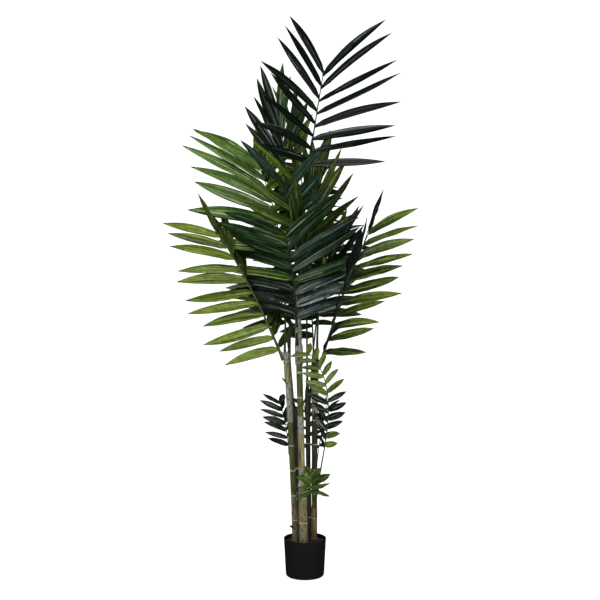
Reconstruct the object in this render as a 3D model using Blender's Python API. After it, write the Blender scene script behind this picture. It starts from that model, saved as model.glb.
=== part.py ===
"""Artificial kentia palm: five slim ringed canes in a small black pot, carrying feathered fronds.

Metres, +Z up. The origin is the centre of the pot's flat underside. -Y is the front.
"""

import math
import random
from collections import namedtuple

import bmesh
import bpy
import numpy as np
from mathutils import Vector
from mathutils.bvhtree import BVHTree

# Clearance between pieces that touch.
GAP = 0.0003

# Edges bent further than this stay sharp, in degrees.
SHARP_ANGLE = 40.0

# Pot: a straight, slightly tapered tub with a rounded bottom edge.
POT_HEIGHT = 0.160
POT_RIM_RADIUS = 0.090
POT_FOOT_RADIUS = 0.081
POT_WALL = 0.003
POT_FLOOR = 0.004
POT_FOOT_ROUND = 0.009
POT_FOOT_STEPS = 3
POT_INNER_STEP = 0.0036
POT_SIDES = 32

# Cement that fills the pot and holds the canes.
FILL_TOP = 0.145
FILL_CLEAR = 0.0012

# Canes.
CANE_SIDES = 10
CANE_EASE = 1.15
FIRST_RING = 0.090
RING_SPACING = 0.105
RING_SWELL = 0.0010
RING_BAND = 0.006
FOOT_FLARE = 1.10
FLARE_HEIGHT = 0.035
BUTT_SHOULDER = 0.006
SHEATH_LENGTH = 0.20
TIP_LENGTH = 0.03
TIP_SHARE = 0.45

# Frond stalks: square in section, tapering to the end of the blade.
STALK_SIDES = 4
STALK_STEPS = 14
STALK_TAPER = 0.25
STALK_TIP_RADIUS = 0.0022
BLADE_END = 0.99

# A stalk's foot moves in until samples along its first steps are a gap off the cane.
SEAT_STEPS = 3
SEAT_SAMPLES = 20
SEAT_ROUNDS = 8

# Leaflets. Each strays in angle and fall, in degrees, and as a share of its length.
LEAF_SAG = 0.16
ANGLE_STRAY = 5.0
FALL_STRAY = 7.0
LENGTH_STRAY = 0.08
LEAF_THICK = 0.012
LEAF_WIDEST = 0.42
LEAF_EDGE_RISE = 0.4
LEAF_STAGGER = 0.12
LEAF_ROOT_WIDTH = 0.24
LEAF_ROOT_ON_STALK = 1.3
LEAF_SHORTER_AT_ROOT = 0.28
LEAF_SHORTER_AT_TIP = 0.22
LEAF_CLEAR = 0.0015

# A cane leans from its foot to its top, each x and y. Height is that of its tip above the ground.
# Below its butt's top it is as thick as the butt, and from there it tapers from stem to crown.
Cane = namedtuple("Cane", "name foot top height butt butt_radius stem_radius crown_radius")
CANES = (
    Cane("cane_left", (-0.041, 0.000), (-0.077, 0.004), 0.950, 0.270, 0.0130, 0.0120, 0.0135),
    Cane("cane_front", (-0.006, -0.050), (-0.035, -0.024), 1.270, 0.395, 0.0175, 0.0130, 0.0135),
    Cane("cane_right", (0.040, 0.034), (0.044, 0.030), 0.915, 0.280, 0.0130, 0.0120, 0.0130),
    Cane("cane_back", (0.017, 0.058), (0.012, 0.062), 0.780, 0.420, 0.0120, 0.0100, 0.0110),
    Cane("cane_rear_left", (-0.030, 0.046), (-0.040, 0.060), 0.700, 0.300, 0.0090, 0.0085, 0.0100),
)

# A frond leaves its cane at a height and a compass turn: 0 is +X, 90 the back, 270 the front.
# Its stalk leans from the vertical by lean at the foot and by end_lean at the tip, the later the
# higher its bend, and swings round by swing on the way. Stalk and blade are lengths along it.
# Roll turns the blade about the stalk, twist adds to that towards the tip, and fall is how far
# the leaflets hang below it. Open and close are their angles from the stalk at the blade's root
# and tip. Leaf and width are the size of the longest, and seed sets how each one strays.
Frond = namedtuple(
    "Frond",
    "name cane height turn lean end_lean swing bend stalk radius "
    "blade roll twist fall open close leaf width pairs seed tone",
)
FRONDS = (
    Frond("frond_top_front", "cane_front", 1.24, 324, 2, 27, -34, 1.5, 0.48, 0.0062,
          0.4, -4, 16, 13, 77, 37, 0.455, 0.042, 8, 940, "deep"),
    Frond("frond_front", "cane_front", 0.98, 252, 5, 40, -1, 1.5, 0.1, 0.0062,
          0.39, 11, 7, -32, 77, 67, 0.395, 0.046, 8, 685, "deep"),
    Frond("frond_left_low", "cane_left", 0.915, 202, 24, 37, 6, 1.5, 0.03, 0.0062,
          0.58, -62, -8, 25, 76, 34, 0.305, 0.041, 11, 345, "lime"),
    Frond("frond_right_low", "cane_right", 0.88, 9, 17, 26, -31, 1.5, 0.05, 0.0062,
          0.58, -26, 14, 21, 66, 39, 0.34, 0.04, 11, 768, "fresh"),
    Frond("frond_left_high", "cane_left", 0.9, 128, -3, 32, 17, 1.5, 0.48, 0.006,
          0.45, 2, -9, 8, 76, 37, 0.43, 0.044, 9, 671, "fresh"),
    Frond("frond_top_left", "cane_left", 0.91, 65, 2, -16, 3, 1.5, 0.57, 0.006,
          0.44, -14, -14, -3, 61, 15, 0.365, 0.044, 9, 928, "teal"),
    Frond("frond_top_back", "cane_front", 1.21, 111, -2, 6, 30, 1.5, 0.19, 0.006,
          0.52, 1, 14, 6, 69, 22, 0.315, 0.046, 9, 916, "olive"),
    Frond("frond_top_right", "cane_front", 1.17, 5, 5, 12, -30, 1.5, 0.12, 0.006,
          0.34, -33, -9, 4, 49, 4, 0.385, 0.044, 7, 508, "olive"),
    Frond("frond_right_high", "cane_right", 0.87, 58, -2, 32, -20, 1.5, 0.21, 0.006,
          0.35, -9, 2, -9, 56, 11, 0.355, 0.04, 7, 601, "olive"),
    Frond("frond_back_top", "cane_front", 1.14, 80, 5, 42, 10, 1.5, 0.2, 0.006,
          0.52, 0, 5, 38, 76, 34, 0.31, 0.042, 10, 11, "deep"),
    Frond("frond_back", "cane_back", 0.76, 95, 4, 48, -10, 1.5, 0.48, 0.006,
          0.54, 5, 0, 36, 76, 34, 0.31, 0.042, 10, 12, "olive"),
    Frond("frond_back_right", "cane_back", 0.72, 58, 6, 42, 14, 1.5, 0.36, 0.0058,
          0.5, 6, 0, 34, 74, 34, 0.27, 0.042, 10, 13, "deep"),
    Frond("frond_back_left", "cane_rear_left", 0.68, 122, 7, 46, -12, 1.5, 0.38, 0.0058,
          0.5, -5, 0, 34, 74, 34, 0.27, 0.042, 10, 14, "teal"),
    Frond("frond_back_low", "cane_right", 0.78, 96, 10, 58, 0, 1.5, 0.22, 0.0058,
          0.46, 0, 0, 36, 70, 34, 0.24, 0.04, 10, 15, "fresh"),
    Frond("sprig_left", "cane_left", 0.51, 143, 5, 29, -12, 1.5, 0.03, 0.003,
          0.2, -6, 13, 21, 63, 45, 0.125, 0.027, 7, 742, "deep"),
    Frond("sprig_right", "cane_right", 0.28, 280, 23, -51, 58, 2.6, 0.28, 0.0034,
          0.44, 47, 102, 8, 52, 51, 0.1, 0.027, 12, 945, "fresh"),
    Frond("sprig_right_back", "cane_right", 0.45, 55, 12, 28, 0, 1.5, 0.07, 0.003,
          0.22, -15, 0, 10, 75, 40, 0.105, 0.024, 6, 16, "deep"),
    Frond("sprig_base", "cane_right", 0.31, 264, 66, 1, -1, 1.5, 0.08, 0.003,
          0.08, 11, 7, 18, 80, 28, 0.1, 0.03, 4, 582, "fresh"),
    Frond("sprig_back", "cane_back", 0.46, 100, 6, 44, 0, 1.5, 0.06, 0.003,
          0.22, 0, 0, 10, 75, 40, 0.095, 0.022, 6, 17, "olive"),
)

# What a crowded leaflet tries in order: degrees out of the blade's plane and share of its length.
TRIES = (
    (0, 1.0), (6, 1.0), (-6, 1.0), (12, 1.0), (-12, 1.0),
    (18, 0.95), (-18, 0.95), (0, 0.8), (25, 0.8), (-25, 0.8),
)

X_AXIS = np.array([1.0, 0.0, 0.0])
Y_AXIS = np.array([0.0, 1.0, 0.0])
DOWN = np.array([0.0, 0.0, -1.0])


def clear_scene():
    for obj in list(bpy.data.objects):
        bpy.data.objects.remove(obj, do_unlink=True)


def material(name, color, roughness):
    made = bpy.data.materials.new(name)
    made.use_nodes = True
    shader = made.node_tree.nodes["Principled BSDF"]
    shader.inputs["Base Color"].default_value = (*color, 1.0)
    shader.inputs["Roughness"].default_value = roughness
    made.diffuse_color = (*color, 1.0)
    return made


def unit(v):
    return v / np.linalg.norm(v, axis=-1, keepdims=True)


def add_object(name, points, faces, finish):
    """A closed mesh as an object of its own, its faces turned outwards."""
    mesh = bpy.data.meshes.new(name)
    mesh.from_pydata([tuple(map(float, p)) for p in points], [], faces)
    turned = bmesh.new()
    turned.from_mesh(mesh)
    bmesh.ops.recalc_face_normals(turned, faces=turned.faces)
    turned.to_mesh(mesh)
    turned.free()
    mesh.shade_smooth()
    mesh.set_sharp_from_angle(angle=math.radians(SHARP_ANGLE))
    mesh.materials.append(finish)
    obj = bpy.data.objects.new(name, mesh)
    bpy.context.scene.collection.objects.link(obj)
    return obj


def loft(rings, close_start=True, close_end=True):
    """Points and faces of a skin over rings of equal counts, with flat end caps."""
    count = len(rings[0])
    points = [p for ring in rings for p in ring]
    faces = []
    for row in range(len(rings) - 1):
        low = row * count
        high = low + count
        for i in range(count):
            j = (i + 1) % count
            faces.append((low + i, low + j, high + j, high + i))
    if close_start:
        faces.append(tuple(reversed(range(count))))
    if close_end:
        faces.append(tuple((len(rings) - 1) * count + i for i in range(count)))
    return points, faces


def circle(center, across, along, radius, sides):
    """A ring of points round a center in the plane of two unit vectors."""
    angles = np.arange(sides) * 2 * math.pi / sides
    return [center + radius * (math.cos(a) * across + math.sin(a) * along) for a in angles]


def lathe(profile, sides):
    """Points and faces of a profile of (radius, height) turned about Z, whose ends lie on the axis."""
    rings = [circle(np.array([0.0, 0.0, z]), X_AXIS, Y_AXIS, r, sides) for r, z in profile[1:-1]]
    points, faces = loft(rings, False, False)
    for row, (r, z) in ((0, profile[0]), (len(rings) - 1, profile[-1])):
        points.append(np.array([0.0, 0.0, z]))
        hub = len(points) - 1
        faces += [(hub, row * sides + i, row * sides + (i + 1) % sides) for i in range(sides)]
    return points, faces


def pot_radius(z):
    """Outer radius of the pot's wall at a height."""
    return POT_FOOT_RADIUS + (POT_RIM_RADIUS - POT_FOOT_RADIUS) * z / POT_HEIGHT


def inner_floor_radius():
    return pot_radius(POT_FLOOR) - POT_WALL - POT_INNER_STEP


def make_pot(finish):
    profile = [(0, 0)]
    for step in range(POT_FOOT_STEPS + 1):
        a = math.radians(90 * step / POT_FOOT_STEPS)
        z = POT_FOOT_ROUND * (1 - math.cos(a))
        profile.append((pot_radius(z) - POT_FOOT_ROUND * (1 - math.sin(a)), z))
    lip = POT_WALL / 2
    profile += [
        (pot_radius(POT_HEIGHT - lip), POT_HEIGHT - lip),
        (pot_radius(POT_HEIGHT) - lip / 2, POT_HEIGHT),
        (pot_radius(POT_HEIGHT) - POT_WALL, POT_HEIGHT - lip / 3),
        (inner_floor_radius(), POT_FLOOR),
        (0, POT_FLOOR),
    ]
    return add_object("pot", *lathe(profile, POT_SIDES), finish)


def make_fill(finish):
    low = POT_FLOOR + GAP
    low_radius = inner_floor_radius() - FILL_CLEAR
    top_radius = pot_radius(FILL_TOP) - POT_WALL - FILL_CLEAR
    profile = [(0, low), (low_radius, low), (top_radius, FILL_TOP), (0, FILL_TOP)]
    return add_object("pot_fill", *lathe(profile, POT_SIDES), finish)


def cane_point(cane, z):
    """The cane's axis at a height: a lean that eases in above the foot."""
    share = max(0.0, (z - FILL_TOP) / (cane.height - FILL_TOP)) ** CANE_EASE
    x = cane.foot[0] + (cane.top[0] - cane.foot[0]) * share
    y = cane.foot[1] + (cane.top[1] - cane.foot[1]) * share
    return np.array([x, y, z])


def cane_radius(cane, z):
    """Radius between the leaf scars: a flared foot, a thick butt, a slim stem and a narrow tip."""
    share = max(z - cane.butt, 0.0) / (cane.height - cane.butt)
    radius = cane.stem_radius + (cane.crown_radius - cane.stem_radius) * share
    shoulder = min(max((z - cane.butt) / BUTT_SHOULDER, 0.0), 1.0)
    radius += (cane.butt_radius - cane.stem_radius) * (1 - shoulder)
    above = z - FILL_TOP
    if above < FLARE_HEIGHT:
        radius *= 1 + (FOOT_FLARE - 1) * (1 - above / FLARE_HEIGHT) ** 2
    below_tip = cane.height - z
    if below_tip < TIP_LENGTH:
        radius *= TIP_SHARE + (1 - TIP_SHARE) * math.sqrt(max(below_tip, 0.0) / TIP_LENGTH)
    return radius


def cane_profile(cane):
    """Heights of the cane's rings of points, three at each leaf scar, and their swell."""
    profile = [(FILL_TOP + GAP, 0.0), (FILL_TOP + FLARE_HEIGHT, 0.0)]
    profile += [(cane.butt, 0.0), (cane.butt + BUTT_SHOULDER, 0.0)]
    scars = int((cane.height - SHEATH_LENGTH - FILL_TOP - FIRST_RING) / RING_SPACING) + 1
    for i in range(scars):
        z = FILL_TOP + FIRST_RING + RING_SPACING * i
        profile += [(z - RING_BAND, 0.0), (z, RING_SWELL), (z + RING_BAND, 0.0)]
    for below in (SHEATH_LENGTH / 2, TIP_LENGTH, TIP_LENGTH * 0.3, 0.0):
        profile.append((cane.height - below, 0.0))
    return sorted(profile)


def cane_mesh(cane):
    return loft([
        circle(cane_point(cane, z), X_AXIS, Y_AXIS, cane_radius(cane, z) + swell, CANE_SIDES)
        for z, swell in cane_profile(cane)
    ])


def direction(lean, turn):
    """Unit vectors at leans from the vertical and compass turns, in degrees."""
    lean = np.radians(lean)
    turn = np.radians(turn)
    return np.stack([np.sin(lean) * np.cos(turn), np.sin(lean) * np.sin(turn), np.cos(lean)], -1)


def stalk_frame(frond, share):
    """Tangent, upper normal and side of the stalk at shares of its whole length."""
    lean = frond.lean + (frond.end_lean - frond.lean) * share ** frond.bend
    turn = frond.turn + frond.swing * share
    tangent = direction(lean, turn)
    normal = direction(lean - 90, turn)
    side = np.cross(tangent, normal)
    roll = np.radians(frond.roll + frond.twist * share)[..., None]
    upper = normal * np.cos(roll) + side * np.sin(roll)
    return tangent, upper, np.cross(tangent, upper)


def stalk_radius(frond, share):
    """Radius of the stalk, which tapers a little below the blade and to the tip along it."""
    blade_from = frond.stalk / (frond.stalk + frond.blade)
    if share < blade_from:
        return frond.radius * (1 - STALK_TAPER * share / blade_from)
    along = (share - blade_from) / (1 - blade_from)
    thick = frond.radius * (1 - STALK_TAPER)
    return thick + (STALK_TIP_RADIUS - thick) * along


def stalk_rings(frond, line):
    rings = []
    for i, point in enumerate(line):
        share = np.array(i / STALK_STEPS)
        tangent, upper, side = stalk_frame(frond, share)
        rings.append(circle(point, side, upper, stalk_radius(frond, float(share)), STALK_SIDES))
    return rings


def stalk_line(frond, cane, cane_tree):
    """Points along the stalk, from its seat a gap away from the cane to the blade's tip."""
    share = (np.arange(STALK_STEPS) + 0.5) / STALK_STEPS
    step = (frond.stalk + frond.blade) / STALK_STEPS
    steps = np.vstack([np.zeros(3), np.cumsum(stalk_frame(frond, share)[0] * step, 0)])
    outward = direction(90, frond.turn)
    foot = cane_point(cane, frond.height) + outward * 2 * (cane.crown_radius + frond.radius)
    for _ in range(SEAT_ROUNDS):
        rings = np.array(stalk_rings(frond, foot + steps))
        near = []
        for low, high in zip(rings[:SEAT_STEPS], rings[1:]):
            for along in np.linspace(0, 1, SEAT_SAMPLES):
                near += [cane_tree.find_nearest(Vector(p))[3] for p in low + (high - low) * along]
        foot = foot - outward * (min(near) - GAP)
    return foot + steps


def on_line(line, share):
    """The point of a line of even steps at a share of its length."""
    place = share * (len(line) - 1)
    low = min(int(place), len(line) - 2)
    return line[low] + (line[low + 1] - line[low]) * (place - low)


def leaf_share(u):
    """A leaflet's length as a share of the longest, by its place along the blade."""
    shorter = LEAF_SHORTER_AT_ROOT if u < 0.5 else LEAF_SHORTER_AT_TIP
    return 1 - shorter * (2 * u - 1) ** 2


def leaf_mesh(foot, ahead, upper, length, width, root_radius, spare=0.0):
    """A keeled, pointed blade from its narrow root at the stalk's axis, with spare room round it."""
    across = unit(np.cross(upper, ahead))
    face = np.cross(ahead, across)
    thick = LEAF_THICK * length
    root = min(width * LEAF_ROOT_WIDTH, root_radius * LEAF_ROOT_ON_STALK) / 2
    middle = foot + (ahead + DOWN * LEAF_SAG * LEAF_WIDEST) * length * LEAF_WIDEST
    rings = []
    for center, half in ((foot, root), (middle, width / 2)):
        edge = center + face * (thick * LEAF_EDGE_RISE + spare)
        keel = center - face * (thick * (1 - LEAF_EDGE_RISE) + spare)
        rings.append([edge + across * (half + spare), edge - across * (half + spare), keel])
    points = rings[0] + rings[1] + [foot + ahead * (length + spare) + DOWN * LEAF_SAG * length]
    root_faces = [(0, 2, 1), (0, 1, 4, 3), (1, 2, 4), (2, 5, 4), (2, 0, 3), (2, 3, 5)]
    tip_faces = [(3, 4, 6), (4, 5, 6), (5, 3, 6)]
    return points, root_faces + tip_faces


def leaf_places(frond, line):
    """Foot, direction, upper normal, length and stalk radius of each leaflet."""
    dice = random.Random(frond.seed)
    for pair in range(frond.pairs):
        for hand in (1, -1):
            u = (pair + 0.5 + hand * LEAF_STAGGER) / (frond.pairs - 0.5 + LEAF_STAGGER)
            share = (frond.stalk + frond.blade * u * BLADE_END) / (frond.stalk + frond.blade)
            tangent, upper, side = stalk_frame(frond, np.array(share))
            stray = [dice.uniform(-1, 1) for _ in range(3)]
            angle = math.radians(frond.open + (frond.close - frond.open) * u + ANGLE_STRAY * stray[0])
            fall = math.radians(frond.fall + FALL_STRAY * stray[1])
            out = hand * side * math.cos(fall) - upper * math.sin(fall)
            ahead = math.cos(angle) * tangent + math.sin(angle) * out
            lift = unit(upper - ahead * np.dot(upper, ahead))
            length = frond.leaf * leaf_share(u) * (1 + LENGTH_STRAY * stray[2])
            yield on_line(line, share), ahead, lift, length, stalk_radius(frond, share)


def tree_of(meshes):
    points = []
    faces = []
    for mesh_points, mesh_faces in meshes:
        start = len(points)
        points += [Vector(map(float, p)) for p in mesh_points]
        faces += [tuple(start + i for i in face) for face in mesh_faces]
    return BVHTree.FromPolygons(points, faces)


def grow():
    """Stalk and leaflets of every frond. A leaflet too near another frond or a cane turns or goes."""
    canes = {cane.name: cane for cane in CANES}
    cane_meshes = {cane.name: cane_mesh(cane) for cane in CANES}
    lines = {
        frond.name: stalk_line(frond, canes[frond.cane], tree_of([cane_meshes[frond.cane]]))
        for frond in FRONDS
    }
    stalks = {frond.name: loft(stalk_rings(frond, lines[frond.name])) for frond in FRONDS}
    placed = {}
    for frond in FRONDS:
        others = [mesh for name, mesh in stalks.items() if name != frond.name]
        others += [leaf for group in placed.values() for leaf in group]
        obstacles = tree_of([*cane_meshes.values(), *others])
        leaves = []
        for foot, ahead, lift, length, radius in leaf_places(frond, lines[frond.name]):
            for turn, size in TRIES:
                turned = unit(ahead * math.cos(math.radians(turn)) + lift * math.sin(math.radians(turn)))
                face = unit(lift - turned * np.dot(lift, turned))
                shape = (foot, turned, face, length * size, frond.width, radius)
                leaf = leaf_mesh(*shape)
                if not tree_of([leaf, leaf_mesh(*shape, LEAF_CLEAR)]).overlap(obstacles):
                    leaves.append(leaf)
                    break
        placed[frond.name] = leaves
    return stalks, placed


def keep_main_shell(mesh):
    """Drops what a union leaves beside the frond's own surface: sealed hollows and loose scraps."""
    shells = bmesh.new()
    shells.from_mesh(mesh)
    left = set(shells.faces)
    groups = []
    while left:
        group = [left.pop()]
        for face in group:
            near = {other for edge in face.edges for other in edge.link_faces} & left
            left -= near
            group += near
        groups.append(group)
    groups.sort(key=len)
    bmesh.ops.delete(shells, geom=[face for group in groups[:-1] for face in group], context="FACES")
    shells.to_mesh(mesh)
    shells.free()


def make_frond(frond, stalk, leaves, finish):
    """One closed solid: the stalk and its leaflets joined by one Boolean union."""
    obj = add_object(frond.name, *stalk, finish)
    group = bpy.data.collections.new(frond.name + "_leaflets")
    bpy.context.scene.collection.children.link(group)
    for i, leaf in enumerate(leaves):
        blade = add_object(f"{frond.name}_leaflet_{i}", *leaf, finish)
        bpy.context.scene.collection.objects.unlink(blade)
        group.objects.link(blade)
    union = obj.modifiers.new("leaflets", "BOOLEAN")
    union.operation = "UNION"
    # Leaflets whose thin roots cross inside the stalk come out of this solver as one closed body.
    union.solver = "MANIFOLD"
    union.operand_type = "COLLECTION"
    union.collection = group
    bpy.context.view_layer.update()
    joined = bpy.data.meshes.new_from_object(obj.evaluated_get(bpy.context.evaluated_depsgraph_get()))
    keep_main_shell(joined)
    obj.modifiers.clear()
    obj.data = joined
    for blade in list(group.objects):
        bpy.data.objects.remove(blade, do_unlink=True)
    bpy.data.collections.remove(group)
    return obj


def main():
    clear_scene()
    make_pot(material("pot_black", (0.011, 0.011, 0.012), 0.55))
    make_fill(material("fill_dark", (0.02, 0.018, 0.016), 0.95))
    stem = material("cane_olive", (0.13, 0.12, 0.05), 0.55)
    for cane in CANES:
        add_object(cane.name, *cane_mesh(cane), stem)
    tones = {
        "deep": material("frond_deep", (0.012, 0.026, 0.014), 0.4),
        "lime": material("frond_lime", (0.12, 0.20, 0.04), 0.45),
        "fresh": material("frond_fresh", (0.07, 0.15, 0.04), 0.45),
        "olive": material("frond_olive", (0.05, 0.08, 0.02), 0.45),
        "teal": material("frond_teal", (0.03, 0.06, 0.05), 0.4),
    }
    stalks, placed = grow()
    for frond in FRONDS:
        make_frond(frond, stalks[frond.name], placed[frond.name], tones[frond.tone])


if __name__ == "__main__":
    main()
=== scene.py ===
"""Looks of an artificial kentia palm: fine leaflets, stalks, ringed canes, sheaths, pot and light.

The fronds grow by the same rule as the solids, carried to finer leaflets.
Metres, +Z up, -Y is the front.
"""

import math
import random
from collections import namedtuple

import bpy
import numpy as np
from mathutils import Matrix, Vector
from mathutils.bvhtree import BVHTree
from mathutils.kdtree import KDTree


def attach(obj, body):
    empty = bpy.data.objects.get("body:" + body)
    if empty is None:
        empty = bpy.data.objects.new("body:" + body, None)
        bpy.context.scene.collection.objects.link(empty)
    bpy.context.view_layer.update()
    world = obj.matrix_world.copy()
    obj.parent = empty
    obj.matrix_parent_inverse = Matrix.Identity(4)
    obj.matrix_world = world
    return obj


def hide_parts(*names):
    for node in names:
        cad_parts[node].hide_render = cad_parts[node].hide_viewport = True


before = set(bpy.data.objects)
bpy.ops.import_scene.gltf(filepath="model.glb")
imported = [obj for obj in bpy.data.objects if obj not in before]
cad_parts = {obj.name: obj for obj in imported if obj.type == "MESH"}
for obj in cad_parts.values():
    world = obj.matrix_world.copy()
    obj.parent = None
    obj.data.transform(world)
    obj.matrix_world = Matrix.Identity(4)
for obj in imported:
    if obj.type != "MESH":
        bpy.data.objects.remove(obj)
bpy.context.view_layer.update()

GAP = 0.0003
FILL_TOP = 0.145

# Fronds as the solids have them, in metres and degrees.
Frond = namedtuple(
    "Frond",
    "name cane height turn lean end_lean swing bend stalk radius "
    "blade roll twist fall open close leaf width pairs seed tone",
)
FRONDS = (
    Frond("frond_top_front", "cane_front", 1.24, 324, 2, 27, -34, 1.5, 0.48, 0.0062,
          0.4, -4, 16, 13, 77, 37, 0.455, 0.042, 8, 940, "deep"),
    Frond("frond_front", "cane_front", 0.98, 252, 5, 40, -1, 1.5, 0.1, 0.0062,
          0.39, 11, 7, -32, 77, 67, 0.395, 0.046, 8, 685, "deep"),
    Frond("frond_left_low", "cane_left", 0.915, 202, 24, 37, 6, 1.5, 0.03, 0.0062,
          0.58, -62, -8, 25, 76, 34, 0.305, 0.041, 11, 345, "lime"),
    Frond("frond_right_low", "cane_right", 0.88, 9, 17, 26, -31, 1.5, 0.05, 0.0062,
          0.58, -26, 14, 21, 66, 39, 0.34, 0.04, 11, 768, "fresh"),
    Frond("frond_left_high", "cane_left", 0.9, 128, -3, 32, 17, 1.5, 0.48, 0.006,
          0.45, 2, -9, 8, 76, 37, 0.43, 0.044, 9, 671, "fresh"),
    Frond("frond_top_left", "cane_left", 0.91, 65, 2, -16, 3, 1.5, 0.57, 0.006,
          0.44, -14, -14, -3, 61, 15, 0.365, 0.044, 9, 928, "teal"),
    Frond("frond_top_back", "cane_front", 1.21, 111, -2, 6, 30, 1.5, 0.19, 0.006,
          0.52, 1, 14, 6, 69, 22, 0.315, 0.046, 9, 916, "olive"),
    Frond("frond_top_right", "cane_front", 1.17, 5, 5, 12, -30, 1.5, 0.12, 0.006,
          0.34, -33, -9, 4, 49, 4, 0.385, 0.044, 7, 508, "olive"),
    Frond("frond_right_high", "cane_right", 0.87, 58, -2, 32, -20, 1.5, 0.21, 0.006,
          0.35, -9, 2, -9, 56, 11, 0.355, 0.04, 7, 601, "olive"),
    Frond("frond_back_top", "cane_front", 1.14, 80, 5, 42, 10, 1.5, 0.2, 0.006,
          0.52, 0, 5, 38, 76, 34, 0.31, 0.042, 10, 11, "deep"),
    Frond("frond_back", "cane_back", 0.76, 95, 4, 48, -10, 1.5, 0.48, 0.006,
          0.54, 5, 0, 36, 76, 34, 0.31, 0.042, 10, 12, "olive"),
    Frond("frond_back_right", "cane_back", 0.72, 58, 6, 42, 14, 1.5, 0.36, 0.0058,
          0.5, 6, 0, 34, 74, 34, 0.27, 0.042, 10, 13, "deep"),
    Frond("frond_back_left", "cane_rear_left", 0.68, 122, 7, 46, -12, 1.5, 0.38, 0.0058,
          0.5, -5, 0, 34, 74, 34, 0.27, 0.042, 10, 14, "teal"),
    Frond("frond_back_low", "cane_right", 0.78, 96, 10, 58, 0, 1.5, 0.22, 0.0058,
          0.46, 0, 0, 36, 70, 34, 0.24, 0.04, 10, 15, "fresh"),
    Frond("sprig_left", "cane_left", 0.51, 143, 5, 29, -12, 1.5, 0.03, 0.003,
          0.2, -6, 13, 21, 63, 45, 0.125, 0.027, 7, 742, "deep"),
    Frond("sprig_right", "cane_right", 0.28, 280, 23, -51, 58, 2.6, 0.28, 0.0034,
          0.44, 47, 102, 8, 52, 51, 0.1, 0.027, 12, 945, "fresh"),
    Frond("sprig_right_back", "cane_right", 0.45, 55, 12, 28, 0, 1.5, 0.07, 0.003,
          0.22, -15, 0, 10, 75, 40, 0.105, 0.024, 6, 16, "deep"),
    Frond("sprig_base", "cane_right", 0.31, 264, 66, 1, -1, 1.5, 0.08, 0.003,
          0.08, 11, 7, 18, 80, 28, 0.1, 0.03, 4, 582, "fresh"),
    Frond("sprig_back", "cane_back", 0.46, 100, 6, 44, 0, 1.5, 0.06, 0.003,
          0.22, 0, 0, 10, 75, 40, 0.095, 0.022, 6, 17, "olive"),
)
STALK_SIDES = 4
STALK_STEPS = 14
STALK_TAPER = 0.25
STALK_TIP_RADIUS = 0.0022
BLADE_END = 0.99
SEAT_STEPS = 3
SEAT_SAMPLES = 20
SEAT_ROUNDS = 8
LEAF_SAG = 0.16
ANGLE_STRAY = 5.0
FALL_STRAY = 7.0
LENGTH_STRAY = 0.08
LEAF_WIDEST = 0.42
LEAF_STAGGER = 0.12
LEAF_SHORTER_AT_ROOT = 0.28
LEAF_SHORTER_AT_TIP = 0.22

# The turns, in degrees, and the shares of its length that a leaflet tries to stay clear of the rest.
TRIES = (
    (0, 1.0), (6, 1.0), (-6, 1.0), (12, 1.0), (-12, 1.0),
    (18, 0.95), (-18, 0.95), (0, 0.8), (25, 0.8), (-25, 0.8),
)
TIP_MATCH = 0.0006

# Canes as the solids have them.
Cane = namedtuple("Cane", "name foot top height butt butt_radius stem_radius crown_radius")
CANES = (
    Cane("cane_left", (-0.041, 0.000), (-0.077, 0.004), 0.950, 0.270, 0.0130, 0.0120, 0.0135),
    Cane("cane_front", (-0.006, -0.050), (-0.035, -0.024), 1.270, 0.395, 0.0175, 0.0130, 0.0135),
    Cane("cane_right", (0.040, 0.034), (0.044, 0.030), 0.915, 0.280, 0.0130, 0.0120, 0.0130),
    Cane("cane_back", (0.017, 0.058), (0.012, 0.062), 0.780, 0.420, 0.0120, 0.0100, 0.0110),
    Cane("cane_rear_left", (-0.030, 0.046), (-0.040, 0.060), 0.700, 0.300, 0.0090, 0.0085, 0.0100),
)
CANE_EASE = 1.15
FIRST_RING = 0.090
RING_SPACING = 0.105
FOOT_FLARE = 1.10
FLARE_HEIGHT = 0.035
BUTT_SHOULDER = 0.006
SHEATH_LENGTH = 0.20
TIP_LENGTH = 0.03
TIP_SHARE = 0.45

X_AXIS = np.array([1.0, 0.0, 0.0])
Y_AXIS = np.array([0.0, 1.0, 0.0])
DOWN = np.array([0.0, 0.0, -1.0])

# Random phases are drawn from about a full turn, in radians.
PHASES = 6.3


def unit(v):
    return v / np.linalg.norm(v, axis=-1, keepdims=True)


def smooth(edge0, edge1, x):
    """0 before edge0, 1 past edge1 and a smooth step between."""
    t = np.clip((x - edge0) / (edge1 - edge0), 0.0, 1.0)
    return t * t * (3 - 2 * t)


def direction(lean, turn):
    """Unit vectors at leans from the vertical and compass turns, in degrees."""
    lean = np.radians(lean)
    turn = np.radians(turn)
    return np.stack([np.sin(lean) * np.cos(turn), np.sin(lean) * np.sin(turn), np.cos(lean)], -1)


def around(count):
    """Even angles round a circle, in radians."""
    return np.arange(count) * 2 * math.pi / count


def ring_points(center, radius, angles, side, upper):
    """Points round a centre, in the plane of two unit vectors."""
    return center + np.outer(radius * np.cos(angles), side) + np.outer(radius * np.sin(angles), upper)


def cane_point(cane, z):
    """The cane's axis at a height: a lean that eases in above the foot."""
    share = max(0.0, (z - FILL_TOP) / (cane.height - FILL_TOP)) ** CANE_EASE
    x = cane.foot[0] + (cane.top[0] - cane.foot[0]) * share
    y = cane.foot[1] + (cane.top[1] - cane.foot[1]) * share
    return np.array([x, y, z])


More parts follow.
